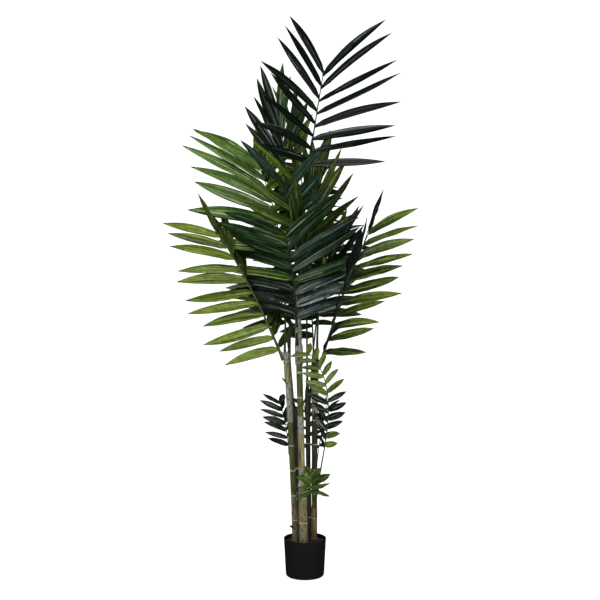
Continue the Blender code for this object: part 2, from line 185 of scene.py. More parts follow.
def cane_radius(cane, z):
    """Radius between the leaf scars: a flared foot, a thick butt, a slim stem and a narrow tip."""
    share = max(z - cane.butt, 0.0) / (cane.height - cane.butt)
    radius = cane.stem_radius + (cane.crown_radius - cane.stem_radius) * share
    shoulder = min(max((z - cane.butt) / BUTT_SHOULDER, 0.0), 1.0)
    radius += (cane.butt_radius - cane.stem_radius) * (1 - shoulder)
    above = max(z - FILL_TOP, 0.0)
    if above < FLARE_HEIGHT:
        radius *= 1 + (FOOT_FLARE - 1) * (1 - above / FLARE_HEIGHT) ** 2
    below_tip = cane.height - z
    if below_tip < TIP_LENGTH:
        radius *= TIP_SHARE + (1 - TIP_SHARE) * math.sqrt(max(below_tip, 0.0) / TIP_LENGTH)
    return radius


def cane_surface(cane):
    """A search tree over the surface of the cane's solid."""
    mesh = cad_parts[cane.name].data
    return BVHTree.FromPolygons([v.co for v in mesh.vertices], [tuple(p.vertices) for p in mesh.polygons])


def stalk_frame(frond, share):
    """Tangent, upper normal and side of the stalk at shares of its whole length."""
    lean = frond.lean + (frond.end_lean - frond.lean) * share ** frond.bend
    turn = frond.turn + frond.swing * share
    tangent = direction(lean, turn)
    normal = direction(lean - 90, turn)
    side = np.cross(tangent, normal)
    roll = np.radians(frond.roll + frond.twist * share)[..., None]
    upper = normal * np.cos(roll) + side * np.sin(roll)
    return tangent, upper, np.cross(tangent, upper)


def stalk_radius(frond, share):
    """Radius of the stalk, which tapers a little below the blade and to the tip along it."""
    blade_from = frond.stalk / (frond.stalk + frond.blade)
    if share < blade_from:
        return frond.radius * (1 - STALK_TAPER * share / blade_from)
    along = (share - blade_from) / (1 - blade_from)
    thick = frond.radius * (1 - STALK_TAPER)
    return thick + (STALK_TIP_RADIUS - thick) * along


def seat_edges(frond, steps):
    """Points along the solid stalk's edges near its seat, measured from its foot."""
    rings = []
    for i in range(SEAT_STEPS + 1):
        share = i / STALK_STEPS
        upper, side = stalk_frame(frond, np.array(share))[1:]
        rings.append(ring_points(steps[i], stalk_radius(frond, share), around(STALK_SIDES), side, upper))
    along = np.linspace(0, 1, SEAT_SAMPLES)[:, None, None]
    return np.vstack([low + (high - low) * along for low, high in zip(rings, rings[1:])]).reshape(-1, 3)


def stalk_line(frond, cane):
    """Points along the stalk, from its seat a gap away from the cane to the blade's tip."""
    share = (np.arange(STALK_STEPS) + 0.5) / STALK_STEPS
    step = (frond.stalk + frond.blade) / STALK_STEPS
    steps = np.vstack([np.zeros(3), np.cumsum(stalk_frame(frond, share)[0] * step, 0)])
    edges = seat_edges(frond, steps)
    surface = cane_surface(cane)
    outward = direction(90, frond.turn)
    foot = cane_point(cane, frond.height) + outward * 2 * (cane.crown_radius + frond.radius)
    for _ in range(SEAT_ROUNDS):
        nearest = min(surface.find_nearest(Vector(foot + edge))[3] for edge in edges)
        foot = foot - outward * (nearest - GAP)
    return foot + steps


def on_line(line, share):
    """The point of a line of even steps at a share of its length."""
    place = share * (len(line) - 1)
    low = min(int(place), len(line) - 2)
    return line[low] + (line[low + 1] - line[low]) * (place - low)


def leaf_share(u):
    """A leaflet's length as a share of the longest, by its place along the blade."""
    shorter = LEAF_SHORTER_AT_ROOT if u < 0.5 else LEAF_SHORTER_AT_TIP
    return 1 - shorter * (2 * u - 1) ** 2


def leaf_places(frond, line):
    """Foot, direction, upper normal, length, hand and place along the blade of each leaflet."""
    dice = random.Random(frond.seed)
    for pair in range(frond.pairs):
        for hand in (1, -1):
            u = (pair + 0.5 + hand * LEAF_STAGGER) / (frond.pairs - 0.5 + LEAF_STAGGER)
            share = (frond.stalk + frond.blade * u * BLADE_END) / (frond.stalk + frond.blade)
            tangent, upper, side = stalk_frame(frond, np.array(share))
            stray = [dice.uniform(-1, 1) for _ in range(3)]
            angle = math.radians(frond.open + (frond.close - frond.open) * u + ANGLE_STRAY * stray[0])
            fall = math.radians(frond.fall + FALL_STRAY * stray[1])
            out = hand * side * math.cos(fall) - upper * math.sin(fall)
            ahead = math.cos(angle) * tangent + math.sin(angle) * out
            lift = unit(upper - ahead * np.dot(upper, ahead))
            length = frond.leaf * leaf_share(u) * (1 + LENGTH_STRAY * stray[2])
            yield on_line(line, share), ahead, lift, length, hand, u


def kept_leaves(frond, line):
    """The leaflets that the frond's solid has, each turned and shortened as it is there."""
    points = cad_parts[frond.name].data.vertices
    tips = KDTree(len(points))
    for i, point in enumerate(points):
        tips.insert(point.co, i)
    tips.balance()
    for foot, ahead, lift, length, hand, u in leaf_places(frond, line):
        for turn, size in TRIES:
            turned = unit(ahead * math.cos(math.radians(turn)) + lift * math.sin(math.radians(turn)))
            tip = foot + (turned + DOWN * LEAF_SAG) * length * size
            if tips.find(Vector(tip))[2] < TIP_MATCH:
                yield foot, turned, unit(lift - turned * np.dot(lift, turned)), length * size, hand, u
                break


# Finishes. Colours are linear. A leaf tone goes from its darkest shade to its palest.
LEAF_TONES = {
    # The palest shades of deep are painted grey highlights on a near-black leaf.
    "deep": ((0.002, 0.004, 0.002), (0.003, 0.006, 0.003), (0.005, 0.010, 0.005),
             (0.019, 0.030, 0.020), (0.090, 0.112, 0.094)),
    # navy is painted shade: near black, for leaflets that turn back into their frond's shade.
    "navy": ((0.002, 0.003, 0.004), (0.003, 0.005, 0.005), (0.005, 0.008, 0.007),
             (0.010, 0.015, 0.013), (0.030, 0.040, 0.036)),
    "pine": ((0.003, 0.010, 0.003), (0.006, 0.020, 0.006), (0.013, 0.039, 0.012),
             (0.040, 0.078, 0.026), (0.125, 0.175, 0.095)),
    "moss": ((0.007, 0.018, 0.004), (0.018, 0.042, 0.007), (0.045, 0.086, 0.012),
             (0.095, 0.150, 0.022), (0.170, 0.225, 0.055)),
    # slate is a dark green whose paler shades are a painted lavender-grey sheen.
    "slate": ((0.005, 0.018, 0.009), (0.013, 0.036, 0.021), (0.046, 0.074, 0.062),
              (0.150, 0.182, 0.194), (0.340, 0.372, 0.410)),
    "fresh": ((0.014, 0.038, 0.006), (0.036, 0.080, 0.012), (0.080, 0.145, 0.026),
              (0.140, 0.220, 0.060), (0.270, 0.355, 0.170)),
    "lime": ((0.024, 0.042, 0.004), (0.060, 0.095, 0.008), (0.105, 0.160, 0.014),
             (0.150, 0.215, 0.024), (0.205, 0.275, 0.042)),
    "leaf": ((0.007, 0.014, 0.003), (0.026, 0.048, 0.006), (0.062, 0.102, 0.011),
             (0.105, 0.162, 0.018), (0.160, 0.225, 0.034)),
    "olive": ((0.004, 0.008, 0.002), (0.012, 0.022, 0.004), (0.029, 0.049, 0.007),
              (0.058, 0.089, 0.013), (0.112, 0.152, 0.028)),
    "teal": ((0.003, 0.010, 0.005), (0.007, 0.021, 0.011), (0.014, 0.040, 0.023),
             (0.036, 0.074, 0.050), (0.105, 0.165, 0.125)),
    "sedge": ((0.024, 0.042, 0.005), (0.050, 0.082, 0.010), (0.085, 0.130, 0.017),
              (0.125, 0.180, 0.030), (0.185, 0.240, 0.060)),
}
SHADES = 5
LEAF_ROUGHNESS = 0.31
LEAF_SPECULAR = 0.30
TIP_COLOUR = (0.024, 0.022, 0.014)
TIP_ROUGHNESS = 0.7
TIP_SPECULAR = 0.1

# Each frond's tones, for the leaflets of its two hands: first those near the stalk's foot.
FROND_LOOKS = {
    "frond_top_front": (("deep",), ("deep",)),
    "frond_front": (
        ("deep", "deep", "moss", "pine", "pine"),
        # Painted sheen: this second hand takes slate.
        ("slate", "slate", "pine", "slate", "pine"),
    ),
    # Painted shade: the low side fronds' first hands turn back into shade and take darker tones.
    "frond_left_low": (("moss", "olive"), ("lime",)),
    "frond_right_low": (("navy",), ("leaf",)),
    "frond_left_high": (("leaf", "lime", "leaf"), ("fresh",)),
    "frond_top_left": (("teal", "pine"), ("teal", "deep")),
    "frond_top_back": (("leaf", "moss"), ("moss", "leaf", "moss")),
    "frond_top_right": (("olive", "moss"), ("olive",)),
    "frond_right_high": (("olive", "deep"), ("olive",)),
    "frond_back_top": (("olive", "deep"), ("olive",)),
    "frond_back": (("olive", "pine"), ("olive",)),
    "frond_back_right": (("olive", "deep"), ("olive", "deep")),
    "frond_back_left": (("pine", "deep"), ("pine",)),
    "frond_back_low": (("pine", "deep"), ("pine",)),
    "sprig_left": (("deep",), ("deep",)),
    "sprig_right": (("sedge", "deep", "deep", "sedge", "sedge", "sedge"), ("deep", "sedge")),
    "sprig_right_back": (("deep",), ("deep",)),
    "sprig_base": (("moss", "sedge"), ("sedge", "moss")),
    "sprig_back": (("olive",), ("olive",)),
}
# How much paler a leaflet is at its tip than at its root, in shades: painted shade near the stalk.
SHADED_ROOT_RISE = {"leaf": 2.8, "lime": 0.8, "fresh": 0.6, "moss": 1.2, "olive": 1.0, "slate": -0.6}
STALK_COLOURS = {
    "deep": (0.012, 0.018, 0.009),
    "lime": (0.060, 0.075, 0.016),
    "fresh": (0.036, 0.055, 0.015),
    "olive": (0.050, 0.066, 0.024),
    "teal": (0.014, 0.028, 0.018),
}
STALK_DARKER = 0.55
STALK_ROUGHNESS = 0.5
FIBRE_SPECULAR = 0.35
SKIN_SPECULAR = 0.45

# A grain's noise: its scale, how much of that it has up the Z axis, its detail, and its relief's
# depth and strength.
Grain = namedtuple("Grain", "scale rise detail depth strength")
LEAF_GRAIN = Grain(45.0, 1.0, 4.0, 0.0006, 0.5)
STALK_GRAIN = Grain(220.0, 0.12, 6.0, 0.0002, 1.0)
STREAK_GRAIN = Grain(90.0, 0.12, 6.0, 0.0006, 1.0)
SKIN_GRAIN = Grain(60.0, 0.35, 5.0, 0.0004, 1.0)
BARK_GRAIN = SKIN_GRAIN._replace(scale=110.0)
TAN_GRAIN = SKIN_GRAIN._replace(scale=150.0)
MATTED_GRAIN = SKIN_GRAIN._replace(scale=170.0)
RAG_GRAIN = SKIN_GRAIN._replace(scale=260.0, depth=0.001)
PLASTIC_GRAIN = Grain(340.0, 1.0, 3.0, 0.0002, 0.5)
CEMENT_GRAIN = Grain(260.0, 1.0, 8.0, 0.0025, 1.0)

# What covers the canes and stalks: its light and dark colour, its roughness and its grain.
Stuff = namedtuple("Stuff", "light dark roughness grain")
MOTTLED = {
    "cane_green": Stuff((0.060, 0.077, 0.018), (0.021, 0.029, 0.008), 0.45, SKIN_GRAIN),
    "cane_dark": Stuff((0.022, 0.030, 0.012), (0.010, 0.014, 0.007), 0.45, SKIN_GRAIN),
    "cane_brown": Stuff((0.125, 0.096, 0.048), (0.034, 0.024, 0.013), 0.6, BARK_GRAIN),
    "cane_ochre": Stuff((0.150, 0.098, 0.034), (0.040, 0.026, 0.012), 0.6, BARK_GRAIN),
    "cane_tan": Stuff((0.140, 0.124, 0.058), (0.034, 0.029, 0.015), 0.6, TAN_GRAIN),
    # cane_shade is painted shade: a darkened brown.
    "cane_shade": Stuff((0.040, 0.026, 0.016), (0.018, 0.013, 0.010), 0.6, SKIN_GRAIN),
    "cane_ring": Stuff((0.330, 0.310, 0.210), (0.180, 0.165, 0.110), 0.7, SKIN_GRAIN),
    "fibre_grey": Stuff((0.215, 0.210, 0.170), (0.016, 0.018, 0.010), 0.85, MATTED_GRAIN),
    "fibre_rag": Stuff((0.330, 0.320, 0.280), (0.010, 0.009, 0.008), 0.9, RAG_GRAIN),
}
STREAKED = {
    "fibre_straw": Stuff((0.235, 0.212, 0.095), (0.048, 0.044, 0.018), 0.8, STREAK_GRAIN),
    "fibre_dark": Stuff((0.040, 0.032, 0.022), (0.012, 0.010, 0.008), 0.85, STREAK_GRAIN),
    "sheath_green": Stuff((0.050, 0.075, 0.022), (0.020, 0.030, 0.010), 0.5, STREAK_GRAIN),
    "sheath_dark": Stuff((0.022, 0.034, 0.014), (0.009, 0.013, 0.007), 0.5, STREAK_GRAIN),
}


def new_material(name, roughness, specular):
    """A node material, its shader and its node tree."""
    made = bpy.data.materials.new(name)
    made.use_nodes = True
    tree = made.node_tree
    shader = tree.nodes["Principled BSDF"]
    shader.inputs["Roughness"].default_value = roughness
    shader.inputs["Specular IOR Level"].default_value = specular
    return made, shader, tree


def noise_value(tree, grain):
    """The grain's noise in object space."""
    place = tree.nodes.new("ShaderNodeTexCoord")
    mapping = tree.nodes.new("ShaderNodeMapping")
    mapping.inputs["Scale"].default_value = (1.0, 1.0, grain.rise)
    noise = tree.nodes.new("ShaderNodeTexNoise")
    noise.inputs["Scale"].default_value = grain.scale
    noise.inputs["Detail"].default_value = grain.detail
    tree.links.new(place.outputs["Object"], mapping.inputs["Vector"])
    tree.links.new(mapping.outputs["Vector"], noise.inputs["Vector"])
    return noise.outputs["Fac"]


def colour_by(tree, shader, value, stops):
    """Base colour from a value, by stops of (place, colour)."""
    ramp = tree.nodes.new("ShaderNodeValToRGB")
    elements = ramp.color_ramp.elements
    while len(elements) < len(stops):
        elements.new(0.5)
    for element, (place, colour) in zip(elements, stops):
        element.position = place
        element.color = (*colour, 1.0)
    tree.links.new(value, ramp.inputs["Fac"])
    tree.links.new(ramp.outputs["Color"], shader.inputs["Base Color"])


def bump_by(tree, shader, value, distance, strength):
    """Fine relief from a value."""
    bump = tree.nodes.new("ShaderNodeBump")
    bump.inputs["Distance"].default_value = distance
    bump.inputs["Strength"].default_value = strength
    tree.links.new(value, bump.inputs["Height"])
    tree.links.new(bump.outputs["Normal"], shader.inputs["Normal"])


def grained_material(name, roughness, specular, grain, stops):
    """A material whose colour and relief both follow its grain."""
    made, shader, tree = new_material(name, roughness, specular)
    value = noise_value(tree, grain)
    colour_by(tree, shader, value, stops)
    bump_by(tree, shader, value, grain.depth, grain.strength)
    return made


def scaled(colour, by):
    return tuple(c * by for c in colour)


def leaf_material(name, colour, roughness, specular):
    """Coated textile leaf: a plain tone, faintly clouded."""
    stops = ((0.3, scaled(colour, 0.72)), (0.7, scaled(colour, 1.25)))
    return grained_material(name, roughness, specular, LEAF_GRAIN, stops)


def streaked_material(name, stuff):
    """Fibrous or stemmy stuff with streaks that run up it."""
    stops = ((0.34, stuff.dark), (0.52, stuff.light), (0.72, scaled(stuff.light, 1.3)))
    return grained_material(name, stuff.roughness, FIBRE_SPECULAR, stuff.grain, stops)


def mottled_material(name, stuff):
    """Moulded stem skin or matted fibre, in blotches."""
    stops = ((0.30, stuff.dark), (0.50, stuff.light), (0.75, scaled(stuff.light, 1.35)))
    return grained_material(name, stuff.roughness, SKIN_SPECULAR, stuff.grain, stops)


def pot_material():
    """Matt black plastic."""
    stops = ((0.3, (0.0045, 0.0045, 0.005)), (0.7, (0.008, 0.008, 0.0085)))
    return grained_material("pot_plastic", roughness=0.55, specular=0.12, grain=PLASTIC_GRAIN, stops=stops)


def cement_material():
    """Dark crumbly cement."""
    stops = ((0.35, (0.008, 0.007, 0.006)), (0.65, (0.035, 0.030, 0.025)))
    return grained_material("fill_cement", roughness=0.95, specular=0.2, grain=CEMENT_GRAIN, stops=stops)


def make_finishes():
    """The materials of canes, fibres, leaflets and stalks, by name."""
    made = {name: mottled_material(name, stuff) for name, stuff in MOTTLED.items()}
    made.update({name: streaked_material(name, stuff) for name, stuff in STREAKED.items()})
    made["leaf_tip"] = leaf_material("leaf_tip", TIP_COLOUR, TIP_ROUGHNESS, TIP_SPECULAR)
    for tone, shades in LEAF_TONES.items():
        for i, shade in enumerate(shades):
            made[f"{tone}_{i}"] = leaf_material(f"leaf_{tone}_{i}", shade, LEAF_ROUGHNESS, LEAF_SPECULAR)
    for tone, light in STALK_COLOURS.items():
        stuff = Stuff(light, scaled(light, STALK_DARKER), STALK_ROUGHNESS, STALK_GRAIN)
        made[f"{tone}_stalk"] = streaked_material(f"stalk_{tone}", stuff)
    return made


def grid_faces(rows, columns, closed):
    """Quads over rows of points, round the section where it is closed."""
    last = columns if closed else columns - 1
    i, j = np.meshgrid(np.arange(rows - 1), np.arange(last), indexing="ij")
    k = (j + 1) % columns
    quads = np.stack([i * columns + j, i * columns + k, (i + 1) * columns + k, (i + 1) * columns + j], -1)
    return quads.reshape(-1, 4).tolist()


def mesh_object(name, points, faces, materials):
    """A smooth mesh over rows of points, linked to the scene."""
    mesh = bpy.data.meshes.new(name)
    mesh.from_pydata(np.reshape(points, (-1, 3)).tolist(), [], faces)
    mesh.shade_smooth()
    for material in materials:
        mesh.materials.append(material)
    obj = bpy.data.objects.new(name, mesh)
    bpy.context.scene.collection.objects.link(obj)
    return obj


def add_piece(name, points, faces, materials, numbers=None):
    """A mesh that rides with the plant, with a material number for each face."""
    obj = mesh_object(name, points, faces, materials)
    if numbers is not None:
        obj.data.polygons.foreach_set("material_index", np.asarray(numbers, np.int32))
    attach(obj, "root")
    return obj


# Leaflets: stations along the blade, and columns across its upper skin, with a narrow rib between.
LEAF_STATIONS = 20
LEAF_COLUMNS = np.array([-1.0, -0.80, -0.56, -0.32, -0.07, 0.07, 0.32, 0.56, 0.80, 1.0])
LEAF_ROUND = 2 * len(LEAF_COLUMNS) - 2
LEAF_STRIPS = len(LEAF_COLUMNS) - 1
LEAF_SKIN = 0.0007

# A leaflet's outline: widths as shares of its widest, by places along it.
LEAF_FULL = 0.12
LEAF_ROOT_SHARE = 0.34
LEAF_BODY_SHARE = 0.80
LEAF_POINT = 2.3
LEAF_END_SHARE = 0.015

# A leaflet's form. Folds, curl, pleats and ripples are shares of its half-width, and lose a share by
# its tip. Arches and bows are shares of its length, and rolls and twists are in degrees. A pair
# holds the least and the most.
LEAF_WIDTHS = (0.88, 1.18)
LEAF_FOLD = (0.18, 0.50)
LEAF_CURL = 0.22
LEAF_PLEAT = 0.085
TIP_FLATTER = 0.4
LEAF_BOW = 0.025
LEAF_ARCH = (-0.012, 0.024)
LEAF_DROOP = 1.35
LEAF_ROLL = 16
LEAF_TWIST = 24
RIPPLE = (0.04, 0.11)
RIPPLE_PACE = (9, 17)
RIPPLE_PHASES = 6

# How a leaflet's shades run. Levels are in steps from one shade to the next, and places and reaches
# are shares of its length.
LEAF_LEVELS = (1.2, 2.4)
UNDER_DARKER = 0.3
RISE_MIDDLE = 0.45
SHADE_WAVES = 2
SHADE_WAVE = (0.3, 0.7)
SHADE_PACE = (3, 8)
STRIP_STRAY = 1.0
RIB_PALER = 0.8
# A painted highlight: one strip is raised this many shades over part of the leaflet's length.
HIGHLIGHT_GAIN = 2.2
HIGHLIGHT_PLACES = (0.2, 0.7)
HIGHLIGHT_REACH = (0.12, 0.34)
TIP_FROM = 0.955
TIP_CHANCE = 0.6

# How much wider than in the solids a frond's finer leaflets are.
FROND_WIDTHS = {
    "frond_top_front": 0.78,
    "frond_front": 1.08,
    "frond_left_high": 1.32,
    "frond_right_low": 1.22,
    "frond_left_low": 1.02,
    "sprig_left": 0.98,
    "sprig_right": 0.95,
    "sprig_right_back": 0.80,
    "sprig_base": 1.12,
}


def leaf_outline(t):
    """Half-width of a leaflet as a share of its widest: a strap with a narrow root and a pointed tip."""
    body = LEAF_BODY_SHARE + (1 - LEAF_BODY_SHARE) * smooth(LEAF_FULL, LEAF_WIDEST, t)
    rise = LEAF_ROOT_SHARE + (body - LEAF_ROOT_SHARE) * smooth(0.0, LEAF_FULL, t)
    fall = 1 - np.clip((t - LEAF_WIDEST) / (1 - LEAF_WIDEST), 0, 1) ** LEAF_POINT
    return np.where(t < LEAF_WIDEST, rise, np.maximum(fall, LEAF_END_SHARE))


def fine_leaf(foot, ahead, lift, length, width, dice):
    """Rings of points of a folded, pleated, drooping leaflet: over the upper skin and back below."""
    t = np.linspace(0, 1, LEAF_STATIONS)
    half = width / 2 * dice.uniform(*LEAF_WIDTHS) * leaf_outline(t)
    across = np.cross(lift, ahead)
    bow = dice.uniform(-LEAF_BOW, LEAF_BOW) * length
    arch = dice.uniform(*LEAF_ARCH) * length
    fold = dice.uniform(*LEAF_FOLD)
    roll = math.radians(dice.uniform(-LEAF_TWIST, LEAF_TWIST)) * t
    roll = roll + math.radians(dice.uniform(-LEAF_ROLL, LEAF_ROLL))
    axis = foot + np.outer(length * t, ahead) + np.outer(LEAF_SAG * length * t ** LEAF_DROOP, DOWN)
    axis = axis + np.outer(np.sin(math.pi * t), bow * across + arch * lift)
    side = np.outer(np.cos(roll), across) + np.outer(np.sin(roll), lift)
    face = np.outer(np.cos(roll), lift) - np.outer(np.sin(roll), across)
    depth = dice.uniform(*RIPPLE)
    ripple = depth * np.sin(t * dice.uniform(*RIPPLE_PACE) + dice.uniform(0, RIPPLE_PHASES))
    order = np.concatenate([np.arange(len(LEAF_COLUMNS)), np.arange(len(LEAF_COLUMNS) - 2, 0, -1)])
    columns = LEAF_COLUMNS[order]
    inside = np.abs(columns) < 1
    pleat = LEAF_PLEAT * np.sin(order * math.pi / 2 + dice.uniform(0, PHASES)) * inside
    rise = fold * np.abs(columns) - LEAF_CURL * columns ** 2 + pleat
    height = half[:, None] * (rise + ripple[:, None] * columns) * (1 - TIP_FLATTER * t[:, None])
    height = height - np.where(np.arange(LEAF_ROUND) < len(LEAF_COLUMNS), 0.0, LEAF_SKIN)
    return (
        axis[:, None, :]
        + side[:, None, :] * (half[:, None] * columns)[..., None]
        + face[:, None, :] * height[..., None]
    )


def leaf_shades(tone, level, dice):
    """A shade for each face of a leaflet's skin: streaks that run along it, round a base level, with
    painted shade towards the root and a painted highlight along one strip.
    """
    t = (np.arange(LEAF_STATIONS - 1) + 0.5)[:, None] / (LEAF_STATIONS - 1)
    # Painted shade: darker towards the root, paler towards the tip.
    level = level + SHADED_ROOT_RISE.get(tone, 0.0) * (t - RISE_MIDDLE)
    for _ in range(SHADE_WAVES):
        phase = np.array([dice.uniform(0, PHASES) for _ in range(LEAF_STRIPS)])
        level = level + dice.uniform(*SHADE_WAVE) * np.sin(dice.uniform(*SHADE_PACE) * t + phase)
    level = level + np.array([dice.uniform(-STRIP_STRAY, STRIP_STRAY) for _ in range(LEAF_STRIPS)])
    level[:, LEAF_STRIPS // 2] += RIB_PALER
    # Painted highlight: a pale run along part of one strip.
    highlight_strip = dice.randrange(LEAF_STRIPS)
    away = np.abs(t[:, 0] - dice.uniform(*HIGHLIGHT_PLACES))
    level[:, highlight_strip] += HIGHLIGHT_GAIN * (away < dice.uniform(*HIGHLIGHT_REACH))
    return np.clip(np.round(level), 0, SHADES - 1).astype(int)


def add_leaves(name, rings, numbers, materials):
    """Leaflets joined into one mesh, with a material number for each face."""
    faces = np.array(grid_faces(LEAF_STATIONS, LEAF_ROUND, True))
    joined = np.vstack([faces + i * LEAF_STATIONS * LEAF_ROUND for i in range(len(rings))])
    return add_piece(name, rings, joined.tolist(), materials, np.ravel(numbers))


def leaf_piece(frond, leaves, finishes, dice):
    """All leaflets of a frond in one mesh, in streaks of plain shades."""
    looks = FROND_LOOKS[frond.name]
    names = [f"{tone}_{i}" for tone in sorted(set(looks[0] + looks[1])) for i in range(SHADES)]
    names.append("leaf_tip")
    width = frond.width * FROND_WIDTHS.get(frond.name, 1.0)
    rings = []
    numbers = []
    for foot, ahead, lift, length, hand, u in leaves:
        rings.append(fine_leaf(foot, ahead, lift, length, width, dice))
        tones = looks[0] if hand > 0 else looks[1]
        tone = tones[min(int(u * len(tones)), len(tones) - 1)]
        level = dice.uniform(*LEAF_LEVELS)
        shades = np.hstack([leaf_shades(tone, level, dice), leaf_shades(tone, level - UNDER_DARKER, dice)])
        number = names.index(tone + "_0") + shades
        if dice.random() < TIP_CHANCE:
            number[int(TIP_FROM * (LEAF_STATIONS - 1)):] = names.index("leaf_tip")
        numbers.append(number)
    return add_leaves(frond.name + "_leaflets", rings, numbers, [finishes[name] for name in names])


# Stalks. A swell is how much thicker than the solid's a stalk is at its foot, where the torn sheath
# still wraps it.
STALK_FINE = 4
STALK_ROUND = 10
STALK_SLIM = 0.8
STALK_CHANNEL = 0.22
STALK_SWELLS = {
    "frond_left_low": 1.9,
    "frond_right_low": 1.9,
    "frond_front": 1.4,
    "frond_right_high": 1.5,
    "frond_top_left": 1.3,
    "sprig_right": 1.9,
    "sprig_base": 1.7,
}
SWELL_FADE = 1.5


def smooth_points(points, per):
    """A Catmull-Rom curve through points, with per steps between each two."""
    ends = np.vstack([2 * points[0] - points[1], points, 2 * points[-1] - points[-2]])
    t = np.arange(per)[:, None] / per
    made = []
    for a, b, c, d in zip(ends, ends[1:], ends[2:], ends[3:]):
        square = 2 * a - 5 * b + 4 * c - d
        cube = 3 * b - a - 3 * c + d
        made.append(0.5 * (2 * b + (c - a) * t + square * t ** 2 + cube * t ** 3))
    return np.vstack(made + [points[-1:]])


def stalk_piece(frond, line, finishes):
    """The stalk as a round, slim limb with a shallow channel along its upper side."""
    fine = smooth_points(line, STALK_FINE)
    angles = around(STALK_ROUND)
    channel = 1 - STALK_CHANNEL * np.clip(np.sin(angles), 0, 1) ** 3
    swell = STALK_SWELLS.get(frond.name, 1.0)
    rings = []
    for i, point in enumerate(fine):
        share = i / (len(fine) - 1)
        upper, side = stalk_frame(frond, np.array(share))[1:]
        radius = stalk_radius(frond, share) * STALK_SLIM * (1 + (swell - 1) * (1 - share) ** SWELL_FADE)
        rings.append(ring_points(point, radius * channel, angles, side, upper))
    faces = grid_faces(len(fine), STALK_ROUND, True)
    foot = list(range(STALK_ROUND))
    end = [(len(fine) - 1) * STALK_ROUND + j for j in foot]
    faces += [foot[::-1], end]
    return add_piece(frond.name + "_stalk", rings, faces, [finishes[frond.tone + "_stalk"]])


def make_fronds(finishes):
    """Leaflets and stalk of each frond, in place of its node. Returns each stalk's line."""
    canes = {cane.name: cane for cane in CANES}
    lines = {}
    for frond in FRONDS:
        dice = random.Random(frond.name)
        line = stalk_line(frond, canes[frond.cane])
        lines[frond.name] = line
        leaves = leaf_piece(frond, kept_leaves(frond, line), finishes, dice)
        stalk = stalk_piece(frond, line, finishes)
        for piece in (leaves, stalk):
            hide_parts(frond.name)
    return lines


# Single dark leaflets that stick out low on the canes: foot, tip and width.
STRAYS = (
    ((-0.040, -0.012, 0.203), (-0.070, -0.014, 0.213), 0.0150),
    ((-0.072, -0.010, 0.812), (-0.104, -0.014, 0.848), 0.0140),
    ((0.040, -0.012, 0.378), (0.066, -0.030, 0.350), 0.0150),
    ((0.040, -0.004, 0.400), (0.086, -0.030, 0.404), 0.0150),
)
STRAY_UPPER = -DOWN - 0.6 * Y_AXIS
STRAY_LEVELS = (1.6, 1.2)


def make_strays(finishes):
    """The single leaflets, each with its upper side turned up and a little to the front."""
    dice = random.Random("strays")
    rings = []
    numbers = []
    for foot, tip, width in STRAYS:
        reach = np.subtract(tip, foot)
        length = float(np.linalg.norm(reach))
        ahead = unit(reach / length - LEAF_SAG * DOWN)
        lift = unit(np.cross(np.cross(ahead, STRAY_UPPER), ahead))
        rings.append(fine_leaf(np.array(foot), ahead, lift, length, width, dice))
        numbers.append(np.hstack([leaf_shades("deep", level, dice) for level in STRAY_LEVELS]))
    used = [finishes[f"deep_{i}"] for i in range(SHADES)]
    obj = add_leaves("stray_leaflets", rings, numbers, used)


# Canes: what covers each up to a height, from the foot. Heights in metres. cane_shade is painted
# shade, and the back canes wear only darker copies: painted shade for canes that stand behind.
ZONES = {
    "cane_left": (
        (0.342, "cane_brown"), (0.655, "cane_green"), (0.830, "fibre_grey"), (0.915, "fibre_straw"),
        (1.000, "fibre_grey"),
    ),
    "cane_front": (
        (0.385, "cane_tan"), (0.425, "fibre_rag"), (0.465, "fibre_grey"), (0.610, "fibre_straw"),
        (0.680, "fibre_grey"), (1.000, "cane_green"), (1.170, "fibre_grey"), (1.300, "cane_green"),
    ),
    "cane_right": (
        (0.330, "cane_ochre"), (0.440, "cane_shade"), (0.545, "fibre_dark"), (0.690, "cane_dark"),
        (0.850, "fibre_grey"), (1.000, "cane_dark"),
    ),
    "cane_back": ((0.450, "cane_shade"), (0.650, "cane_dark"), (0.900, "fibre_dark")),
    "cane_rear_left": ((0.400, "cane_shade"), (0.550, "cane_dark"), (0.900, "fibre_dark")),
}
CANE_ROUND = 28
CANE_ROW = 0.004
CANE_SUNK = 0.004

# Relief: a scar's ridge with a groove above it, and the depth of each covering's waves.
SCAR_RIDGE = 0.0011
SCAR_HALF = 0.0028
SCAR_GROOVE = 0.0004
GROOVE_RISE = 0.006
GROOVE_HALF = 0.003
RELIEF = {"fibre_grey": 0.0020, "fibre_straw": 0.0018, "fibre_dark": 0.0024, "fibre_rag": 0.0048}
PLAIN_RELIEF = 0.00036
EDGE_WANDER = 0.014

# Waves round a stem: how many, and the fewest and most that each makes in a turn.
GRAIN_WAVES = (6, 3, 11)
EDGE_WAVES = (4, 1, 7)
WAVE_DRIFT = 40


def waves(dice, count, low, high):
    """Random sine waves round a stem as (frequency, phase, drift)."""
    made = []
    for _ in range(count):
        frequency = dice.randint(low, high)
        phase = dice.uniform(0, PHASES)
        made.append((frequency, phase, dice.uniform(-WAVE_DRIFT, WAVE_DRIFT)))
    return made


def wave_mean(found, angles, z=0.0):
    """The mean of waves at angles round a stem, each of which drifts round it with the height."""
    offsets = [np.sin(frequency * angles + phase + drift * z) for frequency, phase, drift in found]
    return sum(offsets) / len(offsets)


def zone_number(zones, z):
    """The number of the zone that covers a cane at each height."""
    return np.minimum(np.searchsorted([top for top, _ in zones], z), len(zones) - 1)


